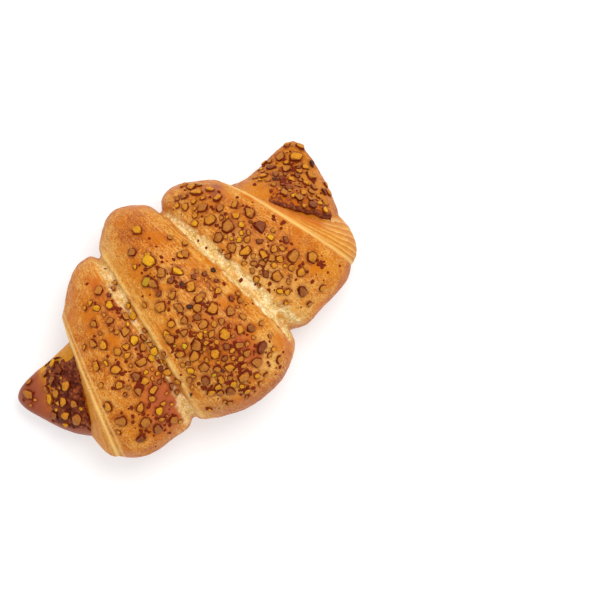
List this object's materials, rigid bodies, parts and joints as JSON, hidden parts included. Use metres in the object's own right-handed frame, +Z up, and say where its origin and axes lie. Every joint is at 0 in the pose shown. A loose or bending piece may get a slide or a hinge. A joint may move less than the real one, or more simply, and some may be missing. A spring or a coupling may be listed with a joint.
{
  "type": "pistachio croissant",
  "caption": "Baked croissant of rolled laminated dough with a nut filling showing at both horns and chopped nuts baked onto the top.",
  "frame": {"origin": "under the middle of the croissant's box, on the surface it rests on", "axes": "+X along the roll towards the pointed horn, +Y towards the hollow side of the crescent, +Z up through the side that shows in the picture"},
  "size_m": [0.1435, 0.0886, 0.0502],
  "materials": {
    "baked_crust": "satin, egg-washed golden crust",
    "baked_filling": "matt, sticky and granular"
  },
  "bodies": {
    "root": {"pastry": "baked_crust", "filling": "baked_filling"}
  },
  "joints": []
}
